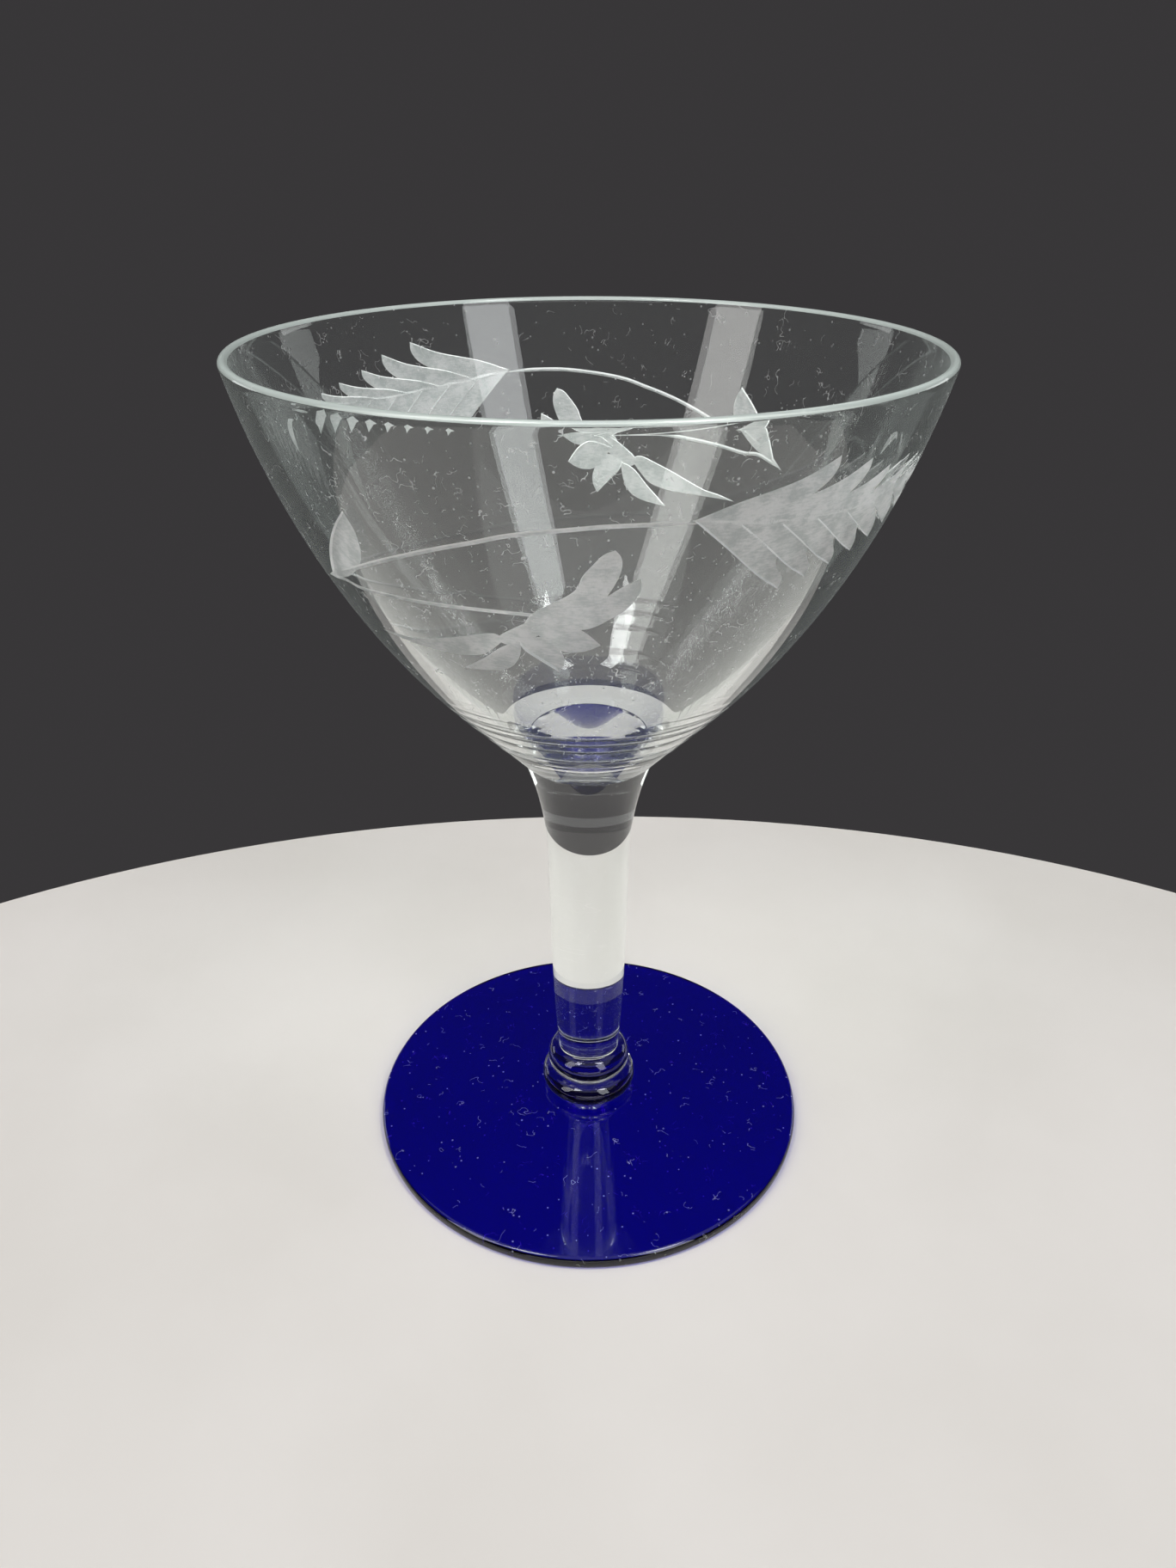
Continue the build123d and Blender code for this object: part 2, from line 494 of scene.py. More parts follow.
# %% The cuts of one motif
LINE_WIDTH = 0.56
motif = [
    # small leaf
    facet([(-57.5, 23.4), (-54.5, 21.3), (-51.3, 19.0), (-47.2, 16.2), (-43.9, 14.1), (-40.5, 12.1)],
          [(-50.5, 22.3), (-45.0, 20.4), (-41.9, 18.6), (-40.3, 16.8), (-39.6, 14.4)]),
    # stem lines
    groove([(-61, 24.1), (-52, 21.9), (-43, 19.5), (-35, 17.3), (-25.6, 14.9), (-18.2, 13.3),
            (-11.6, 12.0), (0, 10.9), (9.5, 10.8), (14, 11.0)], LINE_WIDTH),
    groove([(-60, 23.9), (-52, 22.9), (-47, 23.1), (-39, 22.7), (-29, 22.3), (-21, 22.1),
            (-13.6, 22.1), (-6, 22.4)], LINE_WIDTH),
    # five petals
    facet([(-12.5, 23.4), (-10.3, 21.7), (-4.1, 18.9), (-2.5, 16.8), (-0.9, 15.3), (0.6, 14.1),
           (2.2, 13.6)],
          [(-4.0, 22.6), (0.2, 20.4), (1.6, 19.0), (2.7, 17.4), (3.3, 15.8), (3.1, 14.5)]),
    facet([(-12.5, 24.6), (-5.0, 21.5), (0.2, 19.9), (3.6, 18.2), (6.3, 17.2)],
          [(-6.5, 24.3), (-1.5, 23.9), (1.9, 22.6), (4.7, 21.1), (6.4, 18.9)]),
    facet([(-11.5, 24.4), (-6.0, 23.5), (-2.9, 24.1), (-1.0, 25.2), (0.6, 26.4)],
          [(-9.8, 25.4), (-8.4, 26.4), (-6.3, 27.4), (-3.6, 27.5), (-1.3, 27.1)]),
    facet([(-14.3, 26.2), (-13.4, 27.6), (-10.6, 29.2), (-7.5, 30.8)],
          [(-10.0, 25.3), (-7.8, 26.4), (-6.3, 27.9), (-6.2, 29.4)], 0.3),
    facet([(-13.8, 26.3), (-17.6, 27.3), (-22.3, 29.6), (-28.6, 32.1)],
          [(-14.2, 27.7), (-15.2, 29.2), (-17.4, 30.7), (-21.5, 31.6)]),
    # calyx
    facet([(-18.2, 26.5), (-17.3, 25.5), (-13.6, 23.9), (-9.9, 22.5)],
          [(-16.2, 26.9), (-13.1, 26.2), (-9.8, 24.8), (-9.2, 23.5)], 0.22),
    # long leaf
    facet([(-49.5, 29.7), (-44.5, 29.3), (-39.1, 29.0), (-33.8, 28.2), (-24.9, 26.5), (-19.0, 25.4),
           (-16.6, 26.0)],
          [(-40.5, 29.9), (-35.0, 29.9), (-30.9, 29.9), (-26.8, 29.7), (-22.6, 29.1),
           (-19.4, 27.7)]),
    # bead at the frond's end
    facet([(79.5, 12.6), (81.6, 12.9), (83.6, 14.1), (85.6, 15.9)],
          [(82.2, 12.1), (85.0, 12.9), (86.1, 14.3)]),
]
MIDRIB = (
    (12.6, 10.6), (22.5, 11.9), (31.8, 12.3), (41.5, 12.7), (51, 12.3), (62, 12.2), (74, 12.2), (82, 12.4),
)
MIDRIB_WIDTH, MIDRIB_DEPTH = 1.5, 0.12
motif.append(groove(MIDRIB[:6], MIDRIB_WIDTH, MIDRIB_DEPTH))


def on_midrib(turn):
    """The drop of the frond's midrib at an angle."""
    return float(np.interp(turn, [p[0] for p in MIDRIB], [p[1] for p in MIDRIB]))


LOWER_COUNT, LOWER_DEPTH = 8, 0.27
for i in range(LOWER_COUNT):
    root = 12.8 + 6.9 * i
    tip = (31.8 + 5.6 * i, 21.2 - 0.74 * i)
    reach = tip[0] - root
    high = on_midrib(root)
    fall = tip[1] - high
    steep_edge = [
        (root, high),
        (root + 0.33 * reach, high + 0.37 * fall),
        (root + 0.68 * reach, high + 0.74 * fall),
        tip,
    ]
    soft_edge = [
        (root + 0.45 * reach, on_midrib(root + 0.45 * reach) - 0.3),
        (root + 0.76 * reach, high + 0.3 * fall),
        (tip[0] - 2.9 + 0.4 * i, tip[1] - 3.7 + 0.3 * i),
        (tip[0] - 0.3, tip[1] - 1.7 + 0.1 * i),
    ]
    motif.append(facet(steep_edge, soft_edge, LOWER_DEPTH))

UPPER_TIPS = (
    (34.2, 5.4), (41.6, 6.6), (47.7, 8.2), (54.8, 9.2), (61.0, 9.9), (66.8, 10.4), (72.2, 10.8), (77.0, 11.2),
)
UPPER_DEPTH = 0.24
for i, tip in enumerate(UPPER_TIPS):
    root = 12.7 + 8.0 * i
    high = on_midrib(root)
    reach, rise = tip[0] - root, high - tip[1]
    steep_edge = [
        (root, high),
        (root + 0.3 * reach, high - 0.32 * rise),
        (root + 0.72 * reach, high - 0.64 * rise),
        tip,
    ]
    soft_edge = [
        (root + 0.5 * reach, on_midrib(root + 0.5 * reach) + 0.4),
        (root + 0.82 * reach, high - 0.2 * rise),
        (tip[0] - 1.0, tip[1] + 0.54 * rise),
        (tip[0] + 0.2, tip[1] + 0.26 * rise),
    ]
    motif.append(facet(steep_edge, soft_edge, UPPER_DEPTH))

SPRAY_TURNS = (0.0, 183.5)
cuts = []
for turn in SPRAY_TURNS:
    shift = np.array([math.radians(turn) * UNROLL_RADIUS, 0.0])
    for cut in motif:
        cuts.append({**cut, "steep": cut["steep"] + shift, "soft": cut["soft"] + shift})
print(len(motif), "cuts in a motif,", len(cuts), "on the bowl")

# %% [markdown]
# ## Grinding the cuts into the wall
# A facet's edges have to be real mesh edges, or they'd look like stairs. So the band is
# not a regular grid. Points are laid along every edge, densely inside the facets and
# sparsely on the clear wall, and a constrained Delaunay triangulation joins them up. The
# points are then rolled back round the bowl, each sunk by the depth of the deepest cut
# that covers it.

# %% Depth of the cuts
VALLEY_SHARE = 0.45  # the steep side never takes more of a cut's width than this
FULL_WIDTH = 1.1     # a cut narrower than this is shallower too


def distance_to(points, line):
    """Distance from each point to a polyline."""
    best = np.full(len(points), 1e9)
    for a, b in zip(line[:-1], line[1:]):
        ab = b - a
        t = np.clip(((points - a) @ ab) / max(ab @ ab, 1e-12), 0, 1)
        best = np.minimum(best, np.hypot(*(points - a - t[:, None] * ab).T))
    return best


def within(points, ring):
    """Which points are inside a closed outline."""
    inside = np.zeros(len(points), bool)
    x, y = points.T
    for (ax, ay), (bx, by) in zip(ring, np.roll(ring, -1, axis=0)):
        crosses = (ay > y) != (by > y)
        with np.errstate(divide="ignore", invalid="ignore"):
            inside ^= crosses & (x < (bx - ax) * (y - ay) / (by - ay) + ax)
    return inside


def near(points, cut, margin):
    """Which points are within a margin of the box round a cut, as their places in the list."""
    both = np.vstack([cut["steep"], cut["soft"]])
    low, high = both.min(0) - margin, both.max(0) + margin
    return np.flatnonzero(((points > low) & (points < high)).all(1))


def sunk(points):
    """Depth of the cuts at each point of the flat wall, and whether it's on a steep side."""
    depth, steep = np.zeros(len(points)), np.zeros(len(points), bool)
    for cut in cuts:
        some = near(points, cut, 0.01)
        some = some[within(points[some], np.vstack([cut["steep"], cut["soft"][::-1]]))]
        if not len(some):
            continue
        to_steep = distance_to(points[some], cut["steep"])
        to_soft = distance_to(points[some], cut["soft"])
        width = np.maximum(to_steep + to_soft, 1e-6)
        valley = np.minimum(cut["wall"], VALLEY_SHARE * width)
        slope = (width - to_steep) / (width - valley)
        profile = np.where(to_steep < valley, to_steep / valley, slope)
        here = cut["depth"] * np.minimum(1, width / FULL_WIDTH) ** 0.5 * profile
        deeper = here > depth[some]
        depth[some[deeper]] = here[deeper]
        steep[some[deeper]] = (to_steep < valley)[deeper]
    return depth, steep


print("deepest cut drawn:", max(cut["depth"] for cut in cuts), "mm")

# %% [markdown]
# Points lie along the edges and valleys of the cuts, and fill the cuts densely and the
# clear wall sparsely. The rows are a little out of line so that no pattern shows. Points
# too close to an edge would make slivers and are dropped. The border has as many points as
# the turned parts have round them.

# %% Points and edges of the unrolled band
SEAM = math.radians(-75.0) * UNROLL_RADIUS
AROUND = math.tau * UNROLL_RADIUS
SIDE_ROWS = 30
DENSE_SPACING, SPARSE_SPACING, JITTER = 0.46, 1.15, 0.1
ROW_HEIGHT = 0.866  # of a triangle with sides of 1
DENSE_GAP, VALLEY_GAP, SPARSE_GAP = 0.14, 0.3, 0.4
random.seed(4)


def lattice(spacing):
    """Points in staggered rows over the band, a little out of line."""
    rows = int(band_top / (spacing * ROW_HEIGHT))
    found = []
    for j in range(1, rows):
        for i in range(int(AROUND / spacing)):
            x = SEAM + (i + 0.5 * (j % 2) + 0.25) * spacing + random.uniform(-JITTER, JITTER) * spacing
            y = j * band_top / rows + random.uniform(-JITTER, JITTER) * spacing
            found.append((x, y))
    return np.array(found)


def edge_gap(points, cut):
    """Distance from each point to the nearer edge of a cut."""
    return np.minimum(distance_to(points, cut["steep"]), distance_to(points, cut["soft"]))


edge_points, edge_pairs, valley_points = [], [], []
for cut in cuts:
    ring = np.vstack([cut["steep"], cut["soft"][1:-1][::-1]])
    first = len(edge_points)
    edge_points += [tuple(p) for p in ring]
    edge_pairs += [(first + i, first + (i + 1) % len(ring)) for i in range(len(ring))]
    side = side_of(cut["steep"])
    for way in (1, -1):
        valley = cut["steep"] + way * side * cut["wall"]
        keep = within(valley, ring) & (distance_to(valley, cut["soft"]) > 0.6 * cut["wall"])
        valley_points += [tuple(p) for p in valley[keep]]

dense, sparse = lattice(DENSE_SPACING), lattice(SPARSE_SPACING)
cover, clear = np.zeros(len(dense), bool), np.ones(len(sparse), bool)
keep_dense = np.ones(len(dense), bool)
for cut in cuts:
    ring = np.vstack([cut["steep"], cut["soft"][::-1]])
    some = near(dense, cut, 0.5)
    inside = within(dense[some], ring)
    cover[some] |= inside
    in_valley = (distance_to(dense[some], cut["steep"]) < VALLEY_GAP) & inside
    keep_dense[some] &= (edge_gap(dense[some], cut) > DENSE_GAP) & ~in_valley
    some = near(sparse, cut, 0.6)
    clear[some] &= (edge_gap(sparse[some], cut) > SPARSE_GAP) & ~within(sparse[some], ring)

border = []
for i in range(SEGMENTS + 1):
    border += [(SEAM + AROUND * i / SEGMENTS, 0.0), (SEAM + AROUND * i / SEGMENTS, band_top)]
for j in range(1, SIDE_ROWS):
    border += [(SEAM, band_top * j / SIDE_ROWS), (SEAM + AROUND, band_top * j / SIDE_ROWS)]
fill = [np.array(border), np.array(valley_points), dense[cover & keep_dense], sparse[clear]]
all_points = [Vector(p) for p in edge_points] + [Vector(p) for p in np.vstack(fill)]
flat_points, _, flat_faces, *_ = delaunay_2d_cdt(all_points, edge_pairs, [], 0, 1e-4)
flat_points = np.array([tuple(p) for p in flat_points])
flat_faces = [tuple(f) for f in flat_faces]
print("band:", len(flat_points), "points,", len(flat_faces), "faces")

# %% [markdown]
# ## Glass and the finishes on it
# Two effects lie on every piece of this glass, so each is a node group that is built once.
# Pressed and fire-polished glass is never quite flat: slow waves bend what is seen
# through it. And a glass that has stood on a shelf carries dust specks and short fibres,
# which are small rough patches. The wheel leaves a third finish of its own: fine grinding
# marks over a pitted grey ground.

# %% Node groups for waves, dust and grinding marks
def noise(tree, vector, scale, detail):
    """A noise texture's value."""
    node = add(tree, "ShaderNodeTexNoise")
    wire(tree, node, Vector=vector, Scale=scale, Detail=detail)
    return node.outputs["Fac"]


def ramp(tree, value, low, high, out_low=0.0, out_high=1.0):
    """A value carried smoothly from one range to another."""
    node = add(tree, "ShaderNodeMapRange", interpolation_type="SMOOTHSTEP")
    wire(tree, node, Value=value, From_Min=low, From_Max=high, To_Min=out_low, To_Max=out_high)
    return node.outputs["Result"]


waves, given, result = new_tree(
    "slow waves in glass", "ShaderNodeTree",
    [("Place", "NodeSocketVector", None), ("Scale", "NodeSocketFloat", 1.0)],
    [("Height", "NodeSocketFloat")],
)
scaled = wire(waves, add(waves, "ShaderNodeVectorMath", operation="SCALE"),
              _0=given.outputs["Place"], Scale=given.outputs["Scale"])
broad = noise(waves, scaled.outputs[0], 60.0, 1.0)
fine = maths(waves, "MULTIPLY", noise(waves, scaled.outputs[0], 240.0, 2.0), 0.03)
waves.links.new(maths(waves, "ADD", broad, fine), result.inputs["Height"])

dust, given, result = new_tree(
    "dust specks and fibres", "ShaderNodeTree",
    [("Place", "NodeSocketVector", None), ("Amount", "NodeSocketFloat", 1.0)],
    [("Mask", "NodeSocketFloat")],
)
place = given.outputs["Place"]
cell = wire(dust, add(dust, "ShaderNodeTexVoronoi", feature="F1"), Vector=place, Scale=1100.0)
shade = wire(dust, add(dust, "ShaderNodeSeparateColor"), Color=cell.outputs["Color"])
speck_size = ramp(dust, shade.outputs[0], 0.80, 1.0, 0.0, 0.17)
specks = maths(dust, "LESS_THAN", cell.outputs["Distance"], speck_size)
off_line = maths(dust, "ABSOLUTE", maths(dust, "SUBTRACT", noise(dust, place, 520.0, 1.5), 0.5))
near_line = ramp(dust, off_line, 0.0035, 0.009, 1.0, 0.0)
short = ramp(dust, noise(dust, place, 380.0, 0.0), 0.69, 0.71)
fibres = maths(dust, "MULTIPLY", near_line, short)
both = maths(dust, "MAXIMUM", specks, fibres)
dust.links.new(maths(dust, "MULTIPLY", both, given.outputs["Amount"]), result.inputs["Mask"])

grinding, given, result = new_tree(
    "grinding marks", "ShaderNodeTree",
    [("Place", "NodeSocketVector", None)],
    [("Height", "NodeSocketFloat"), ("Tone", "NodeSocketFloat")],
)
place = given.outputs["Place"]
stretch = wire(grinding, add(grinding, "ShaderNodeMapping"), Vector=place, Scale=(1.0, 1.0, 3.2))
pits = noise(grinding, place, 3800.0, 3.0)
marks = noise(grinding, stretch.outputs[0], 1300.0, 2.0)
patches = maths(grinding, "MULTIPLY", noise(grinding, place, 420.0, 3.0), 0.6)
rough = maths(grinding, "ADD", pits, maths(grinding, "MULTIPLY", marks, 0.7))
tone = maths(grinding, "ADD", patches, maths(grinding, "MULTIPLY", marks, 0.4))
grinding.links.new(rough, result.inputs["Height"])
grinding.links.new(tone, result.inputs["Tone"])
print("groups:", [g.name for g in (waves, dust, grinding)])

# %% [markdown]
# Clear and cobalt glass are the Principled shader with full transmission: light bends by
# the index of refraction and takes the base colour on its way. A ray that carries light
# to the floor goes straight through instead, tinted, which stands in for the bright
# patches a lens of glass throws. Where two pieces are fused there is no surface at all,
# so those faces are simply see-through. The rim, melted round by the flame, is made half
# diffuse and pale green: a painted glow for the light the wall carries up to its edge.
# Specks of dust are white and rough, and a faint emission gives them a painted glow.

# %% Materials
DUST_PAINTED_GLOW, DUST_ROUGHNESS = 0.16, 0.35
WAVE_HEIGHT, PIT_HEIGHT, PIT_STRENGTH = 0.2 * MM, 0.05 * MM, 0.8
GLASS_IOR, COBALT_IOR = 1.5, 1.52
GLASS_TINT, GLASS_SHADOW = (0.975, 1.0, 0.985, 1.0), (0.93, 0.95, 0.94, 1.0)
COBALT, COBALT_SHADOW = (0.012, 0.001, 0.34, 1.0), (0.25, 0.25, 0.62, 1.0)
COBALT_DUST = (0.12, 0.14, 0.6, 1.0)
RIM_PAINTED_GLOW_TINT, FILM_TINT, WHITE = (0.90, 1.0, 0.955, 1.0), (0.9, 1.0, 0.96, 1.0), (1.0, 1.0, 1.0, 1.0)


def new_material(name):
    """An empty material: itself, its tree, its output and the place on the object."""
    material = bpy.data.materials.new(name)
    material.use_nodes = True
    tree = material.node_tree
    tree.nodes.clear()
    place = add(tree, "ShaderNodeTexCoord").outputs["Object"]
    return material, tree, add(tree, "ShaderNodeOutputMaterial"), place


def mixed_colour(tree, factor, first, second):
    """A colour between two; sockets 0, 6 and 7 of a Mix node are its factor and colours."""
    node = add(tree, "ShaderNodeMix", data_type="RGBA")
    wire(tree, node, _0=factor, _6=first, _7=second)
    return node.outputs[2]


def glass_material(name, waviness, dustiness, colour=GLASS_TINT, dusty_colour=WHITE,
                   shadow_colour=GLASS_SHADOW, ior=GLASS_IOR, clearness=1.0, film=0.0):
    """Glass with waves, a thin film, and dust with a faint painted glow; lets light rays straight through."""
    material, tree, output, place = new_material(name)
    glass = add(tree, "ShaderNodeBsdfPrincipled")
    wave = wire(tree, add(tree, "ShaderNodeGroup", node_tree=waves), Place=place)
    dust_and_glow_specks = wire(tree, add(tree, "ShaderNodeGroup", node_tree=dust), Place=place, Amount=dustiness)
    dust_and_glow_mask = dust_and_glow_specks.outputs["Mask"]
    bump = wire(tree, add(tree, "ShaderNodeBump"),
                Strength=waviness, Distance=WAVE_HEIGHT, Height=wave.outputs["Height"])
    # The dust mask makes specks white and rough, and its emission is a painted glow on them.
    wire(tree, glass,
         Base_Color=mixed_colour(tree, dust_and_glow_mask, colour, dusty_colour),
         Roughness=maths(tree, "MULTIPLY", dust_and_glow_mask, DUST_ROUGHNESS),
         Emission_Color=dust_and_glow_mask, Emission_Strength=DUST_PAINTED_GLOW,
         IOR=ior, Normal=bump.outputs[0], Metallic=0.0)
    glass.inputs["Transmission Weight"].default_value = clearness
    glass.inputs["Sheen Weight"].default_value = film
    glass.inputs["Sheen Roughness"].default_value = 0.4
    glass.inputs["Sheen Tint"].default_value = FILM_TINT
    straight = wire(tree, add(tree, "ShaderNodeBsdfTransparent"), Color=shadow_colour)
    is_light = add(tree, "ShaderNodeLightPath").outputs["Is Shadow Ray"]
    mix = wire(tree, add(tree, "ShaderNodeMixShader"),
               _0=is_light, _1=glass.outputs[0], _2=straight.outputs[0])
    tree.links.new(mix.outputs[0], output.inputs["Surface"])
    return material


def seam_material(name, colour):
    """See-through, for faces where two pieces are fused."""
    material, tree, output, _ = new_material(name)
    clear = wire(tree, add(tree, "ShaderNodeBsdfTransparent"), Color=colour)
    tree.links.new(clear.outputs[0], output.inputs["Surface"])
    return material


def ground_material(name, dark, clearness):
    """Glass ground by the wheel: grey patches that go from dark to white."""
    material, tree, output, place = new_material(name)
    marks = wire(tree, add(tree, "ShaderNodeGroup", node_tree=grinding), Place=place)
    bump = wire(tree, add(tree, "ShaderNodeBump"),
                Strength=PIT_STRENGTH, Distance=PIT_HEIGHT, Height=marks.outputs["Height"])
    ground = add(tree, "ShaderNodeBsdfPrincipled")
    wire(tree, ground,
         Base_Color=mixed_colour(tree, ramp(tree, marks.outputs["Tone"], 0.36, 0.62), dark, WHITE),
         Roughness=ramp(tree, marks.outputs["Tone"], 0.3, 0.7, 0.5, 0.72),
         IOR=GLASS_IOR, Normal=bump.outputs[0], Metallic=0.0)
    ground.inputs["Transmission Weight"].default_value = clearness
    tree.links.new(ground.outputs[0], output.inputs["Surface"])
    return material


clear_glass = glass_material("clear_glass", 0.2, 0.3, film=0.06)
bowl_glass = glass_material("bowl_glass", 0.035, 1.0, clearness=0.992, film=0.2)
# The rim glass is half diffuse and pale green: a painted glow for light carried up the wall to the rim.
rim_glass_painted_glow = glass_material("rim_glass_painted_glow", 0.035, 0.3, colour=RIM_PAINTED_GLOW_TINT, clearness=0.5, film=0.3)
cobalt_glass = glass_material(
    "cobalt_glass", 0.05, 0.8,
    colour=COBALT, dusty_colour=COBALT_DUST, shadow_colour=COBALT_SHADOW, ior=COBALT_IOR)
fused_seam = seam_material("fused_seam", WHITE)
cobalt_seam = seam_material("cobalt_seam", tuple(math.sqrt(c) for c in COBALT[:3]) + (1.0,))
cut_glass = ground_material("cut_glass", (0.66, 0.70, 0.69, 1.0), 0.66)
# The steep walls of the cuts are paler and less clear than their floors: a painted highlight for the light
# they catch from above.
cut_wall_painted_highlight = ground_material("cut_wall_painted_highlight", (0.94, 0.97, 0.96, 1.0), 0.50)
print("materials:", [m.name for m in bpy.data.materials])

# %% [markdown]
# ## The stem, knop, wafer and foot
# Each turned mesh takes its glass, then the flat faces that are fused to a neighbour are
# given the seam instead. A face belongs to a seam when it is level, at the joint's height
# and inside the joint's radius.

# %% Turn the four lower pieces
CORNER_ANGLE = math.radians(28)
LEVEL_ERROR = 0.02 * MM


def finish_mesh(mesh, glass, seams):
    """Sharp corners, one glass all over, and a seam finish on the fused discs."""
    mesh.materials.clear()
    mesh.materials.append(glass)
    for height, radius, seam in seams:
        if seam.name not in mesh.materials:
            mesh.materials.append(seam)
        slot = mesh.materials.find(seam.name)
        for face in mesh.polygons:
            centre = face.center
            level = abs(face.normal.z) > 0.99 and abs(centre.z - height * MM) < LEVEL_ERROR
            if level and math.hypot(centre.x, centre.y) < radius * MM:
                face.material_index = slot
    mesh.shade_smooth()
    mesh.set_sharp_from_angle(angle=CORNER_ANGLE)


def placed(name, mesh, node):
    """The finished piece as an object that rides the glass and stands for its CAD node."""
    mesh.name = name
    piece = bpy.data.objects.new(name, mesh)
    bpy.context.scene.collection.objects.link(piece)
    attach(piece, "root")
    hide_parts(node)
    return piece


wafer_foot, knop_wafer = (foot_pad, wafer_face_r), (wafer_high, knop_foot_r)
stem_knop, bowl_stem = (knop_high, stem_foot_r), (seat_high, stem_top_r)
lower = {
    "foot": (cobalt_glass, [(*wafer_foot, cobalt_seam)], "cobalt_glass"),
    "wafer": (clear_glass, [(*wafer_foot, fused_seam), (*knop_wafer, fused_seam)], "clear_glass"),
    "knop": (clear_glass, [(*knop_wafer, fused_seam), (*stem_knop, fused_seam)], "clear_glass"),
    "stem": (clear_glass, [(*stem_knop, fused_seam), (*bowl_stem, fused_seam)], "clear_glass"),
}
for name, (glass, seams, slot_name) in lower.items():
    mesh = turned(name, outlines[name], glass)
    finish_mesh(mesh, glass, seams)
    piece = placed(name + "_glass", mesh, name)
    on_seams = sum(face.material_index > 0 for face in mesh.polygons)
    print(piece.name, len(mesh.polygons), "faces,", on_seams, "on seams")

# %% [markdown]
# ## Putting the bowl together
# The band is rolled back round the bowl and joined to the two turned parts. Both share
# the same 240 places on each border circle, so a weld closes the wall.

# %% Roll up the cut band
WELD_DISTANCE = 0.003 * MM
CLEAR_BAND, CUT_FLOOR, CUT_WALL = 1, 2, 3  # where a face of the band comes from
turn = flat_points[:, 0] / UNROLL_RADIUS - math.pi / 2
lift = flat_points[:, 1] / wall_curve + wall_angle(band_low)
depth, _ = sunk(flat_points)
radius = wall_centre[0] + (wall_curve - depth) * np.cos(lift)
height = wall_centre[1] + (wall_curve - depth) * np.sin(lift)
band_points = np.column_stack([radius * np.cos(turn), radius * np.sin(turn), height])
middles = flat_points[np.array(flat_faces)].mean(axis=1)
middle_depth, is_steep = sunk(middles)
is_cut = middle_depth > 0.0
print("cut faces:", int(is_cut.sum()), "deepest", round(float(depth.max()), 3), "mm")

shell = bmesh.new()
for outline, part in ((bowl_lower, "lower bowl"), (bowl_upper, "upper bowl")):
    shell.from_mesh(turned(part, outline, bowl_glass))
origin = shell.faces.layers.int.new("origin")
new_points = [shell.verts.new(p * MM) for p in band_points]
for corners, cut, steep in zip(flat_faces, is_cut, is_steep):
    face = shell.faces.new([new_points[i] for i in corners])
    face[origin] = (CUT_WALL if steep else CUT_FLOOR) if cut else CLEAR_BAND
before = len(shell.verts)
bmesh.ops.remove_doubles(shell, verts=shell.verts, dist=WELD_DISTANCE)
open_edges = sum(len(e.link_faces) != 2 for e in shell.edges)
volume = round(shell.calc_volume(signed=True) / MM ** 3)
print("bowl:", len(shell.verts), "points,", before - len(shell.verts), "welded,",
      open_edges, "open edges, volume", volume, "mm3")

# %% [markdown]
# The bowl's faces take one of five finishes: clear wall, seam, the fire-polished rim with
# its painted glow, the ground floor of a cut, and the steep wall of a cut, paler as a
# painted highlight. The clear wall takes its shading from the true curve rather than from
# its triangles, which would show as faint facets. The cuts take theirs from their own
# faces, which keeps their edges crisp.

# %% Finish and shading of the bowl
RIM_BAND = 0.5
bowl_mesh = bpy.data.meshes.new("bowl")
shell.to_mesh(bowl_mesh)
shell.free()
finish_mesh(bowl_mesh, bowl_glass, [(*bowl_stem, fused_seam)])
for glass in (rim_glass_painted_glow, cut_glass, cut_wall_painted_highlight):
    bowl_mesh.materials.append(glass)
# The top of the rim takes the rim glass, with its painted glow.
for face in bowl_mesh.polygons:
    if face.center.z > (rim_high - RIM_BAND) * MM:
        face.material_index = bowl_mesh.materials.find("rim_glass_painted_glow")
kind = np.zeros(len(bowl_mesh.polygons), np.int32)
bowl_mesh.attributes["origin"].data.foreach_get("value", kind)
cut_slots = {
    CUT_FLOOR: bowl_mesh.materials.find("cut_glass"),
    CUT_WALL: bowl_mesh.materials.find("cut_wall_painted_highlight"),
}
normals = np.zeros((len(bowl_mesh.loops), 3), np.float32)
bowl_mesh.corner_normals.foreach_get("vector", normals.ravel())
cut_sum = {}
for face in bowl_mesh.polygons:
    if kind[face.index] in cut_slots:
        face.material_index = cut_slots[kind[face.index]]
        for corner in face.vertices:
            key = (corner, kind[face.index])
            cut_sum[key] = cut_sum.get(key, Vector((0, 0, 0))) + face.normal * face.area
for face in bowl_mesh.polygons:
    if kind[face.index] == 0:
        continue
    for loop in face.loop_indices:
        corner = bowl_mesh.loops[loop].vertex_index
        if kind[face.index] in cut_slots:
            normal = cut_sum[(corner, kind[face.index])].normalized()
        else:
            place = bowl_mesh.vertices[corner].co
            around = math.hypot(place.x, place.y)
            out = Vector((around / MM - wall_centre[0], place.z / MM - wall_centre[1])).normalized()
            normal = Vector((out[0] * place.x / around, out[0] * place.y / around, out[1]))
        normals[loop] = normal
bowl_mesh.normals_split_custom_set([tuple(n) for n in normals])
bowl_mesh.attributes.remove(bowl_mesh.attributes["origin"])
bowl = placed("bowl_glass", bowl_mesh, "bowl")
print("bowl faces", len(bowl_mesh.polygons), "cut", int((kind >= CUT_FLOOR).sum()))

# %% [markdown]
# ## Floor, light and camera
# The glass stands on a plain pale table top in a dim grey room. Two tall soft windows and
# a broad ceiling light draw the long pale streaks that show the glass's shape: glass is
# seen by what it reflects and bends, so the lights matter as much as the material.

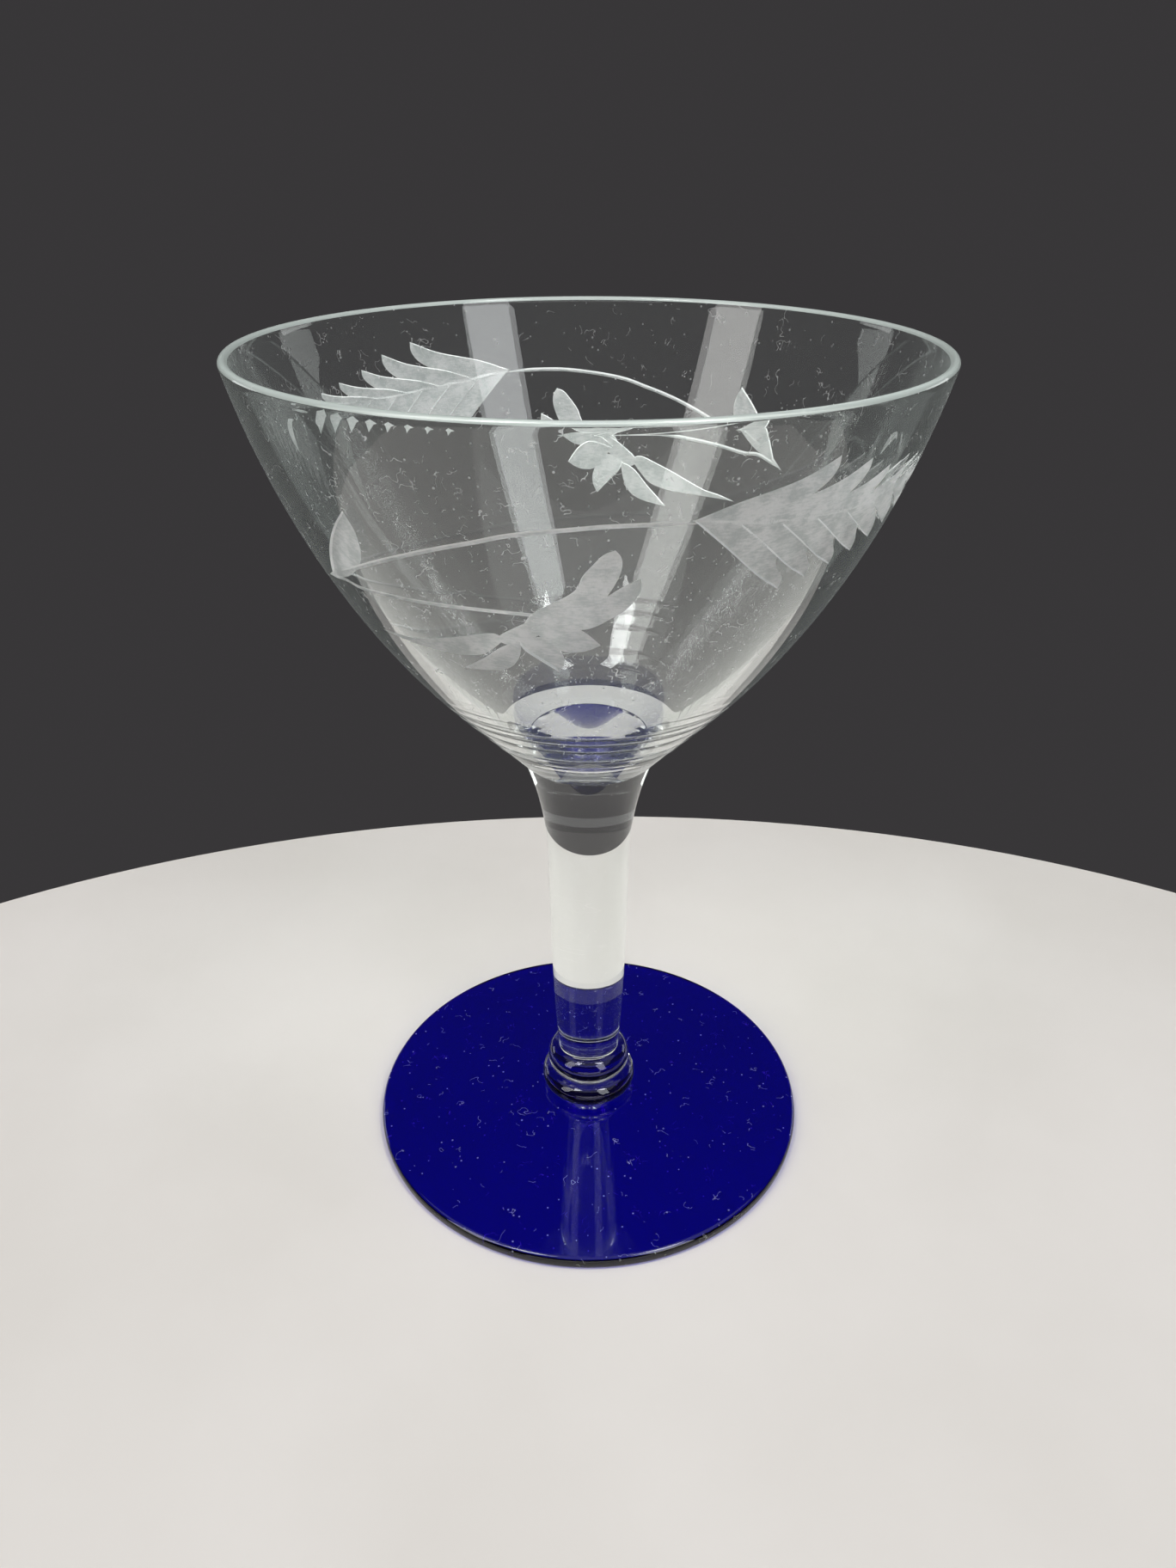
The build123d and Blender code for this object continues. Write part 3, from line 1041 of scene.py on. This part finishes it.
# %% Table top
TOP_CENTRE, TOP_WIDE, TOP_BEHIND, TOP_IN_FRONT = -40 * MM, 200 * MM, 138 * MM, 420 * MM
TOP_DROP, TOP_STEPS = 0.02 * MM, 160
table, tree, output, place = new_material("pale_table")
grain = ramp(tree, noise(tree, place, 14.0, 4.0), 0.3, 0.7)
cloth = wire(
    tree, add(tree, "ShaderNodeBsdfPrincipled"), Roughness=0.75,
    Base_Color=mixed_colour(tree, grain, (0.71, 0.68, 0.645, 1.0), (0.76, 0.73, 0.70, 1.0)))
tree.links.new(cloth.outputs[0], output.inputs["Surface"])
rounds = [(0.0, TOP_CENTRE, -TOP_DROP)]
for i in range(TOP_STEPS):
    angle = math.tau * i / TOP_STEPS
    long_way = TOP_BEHIND if math.sin(angle) > 0 else TOP_IN_FRONT
    rounds.append((TOP_WIDE * math.cos(angle), TOP_CENTRE + long_way * math.sin(angle), -TOP_DROP))
top_mesh = bpy.data.meshes.new("table_top")
top_mesh.from_pydata(rounds, [], [(0, i + 1, (i + 1) % TOP_STEPS + 1) for i in range(TOP_STEPS)])
top_mesh.materials.append(table)
table_top = bpy.data.objects.new("table_top", top_mesh)
bpy.context.scene.collection.objects.link(table_top)
print("table top", 2 * TOP_WIDE, "m wide,", round(TOP_BEHIND + TOP_IN_FRONT, 3), "m deep")

# %% [markdown]
# Beside the windows and the ceiling there are two small lamps for short bright marks, two
# low lights behind that draw pale edges, and a long low strip in front. A light is placed
# by its azimuth and elevation from the middle of the glass, and the camera can't see it.

# %% Lights
LIT_HEIGHT = 70 * MM
LIGHTS = {  # azimuth, elevation, distance in m, width, height, power in W, colour
    "left_window": (-60, 36, 1.1, 0.36, 0.9, 3.8, (1.0, 0.99, 0.97)),
    "right_window": (38, 36, 1.1, 0.34, 0.9, 3.8, (0.97, 0.99, 1.0)),
    "left_lamp": (-46, 64, 1.1, 0.2, 0.34, 2.5, (1.0, 1.0, 1.0)),
    "right_lamp": (52, 64, 1.1, 0.2, 0.34, 2.5, (1.0, 1.0, 1.0)),
    "left_edge": (-122, 5, 1.0, 0.3, 0.24, 0.4, (0.97, 1.0, 0.99)),
    "right_edge": (122, 5, 1.0, 0.3, 0.24, 0.4, (0.97, 1.0, 0.99)),
    "front_fill": (0, 4, 1.1, 1.2, 0.2, 1.2, (1.0, 1.0, 1.0)),
    "ceiling": (0, 79, 1.2, 2.6, 1.3, 6.3, (1.0, 0.99, 0.985)),
}
ROOM_COLOUR = (0.040, 0.038, 0.040, 1.0)


def soft_light(name, azimuth, elevation, distance, width, height, power, colour):
    """A rectangular light that faces the middle of the glass."""
    data = bpy.data.lights.new(name, "AREA")
    data.shape, data.size, data.size_y = "RECTANGLE", width, height
    data.energy, data.color = power, colour
    light = bpy.data.objects.new(name, data)
    a, e = math.radians(azimuth), math.radians(elevation)
    toward = Vector((math.sin(a) * math.cos(e), -math.cos(a) * math.cos(e), math.sin(e)))
    light.location = toward * distance + Vector((0, 0, LIT_HEIGHT))
    light.rotation_euler = toward.to_track_quat("Z", "Y").to_euler()
    light.visible_camera = False
    bpy.context.scene.collection.objects.link(light)
    print(name, "radiance", round(power / (math.pi * width * height), 2))


for name, values in LIGHTS.items():
    soft_light(name, *values)

room = bpy.data.worlds.new("dim_room")
room.use_nodes = True
background = room.node_tree.nodes["Background"]
background.inputs["Color"].default_value = ROOM_COLOUR
background.inputs["Strength"].default_value = 1.0
bpy.context.scene.world = room

# %% [markdown]
# The camera stands close and looks down into the bowl, as someone at the table would.
# Its lens is wide, so the rim looks much larger than the foot.

# %% Camera
FOCAL_LENGTH, SENSOR_WIDTH = 26.5, 36.0
CAMERA_PLACE, LOOK_AT = (-0.0042, -0.1547, 0.1538), (-0.0001, 0.0, 0.0655)
lens = bpy.data.cameras.new("camera")
lens.lens, lens.sensor_width, lens.sensor_fit = FOCAL_LENGTH, SENSOR_WIDTH, "AUTO"
lens.clip_start, lens.clip_end = 0.01, 20.0
lens.dof.use_dof = False
camera = bpy.data.objects.new("camera", lens)
camera.location = CAMERA_PLACE
look = Vector(LOOK_AT) - camera.location
camera.rotation_euler = look.to_track_quat("-Z", "Y").to_euler()
bpy.context.scene.collection.objects.link(camera)
bpy.context.scene.camera = camera
bpy.context.scene.view_settings.view_transform = "Standard"
print("camera", round(look.length, 4), "m from the middle of the glass")

# %% [markdown]
# ## The last step
# The view layer is brought up to date.

# %% Finish
bpy.context.view_layer.update()
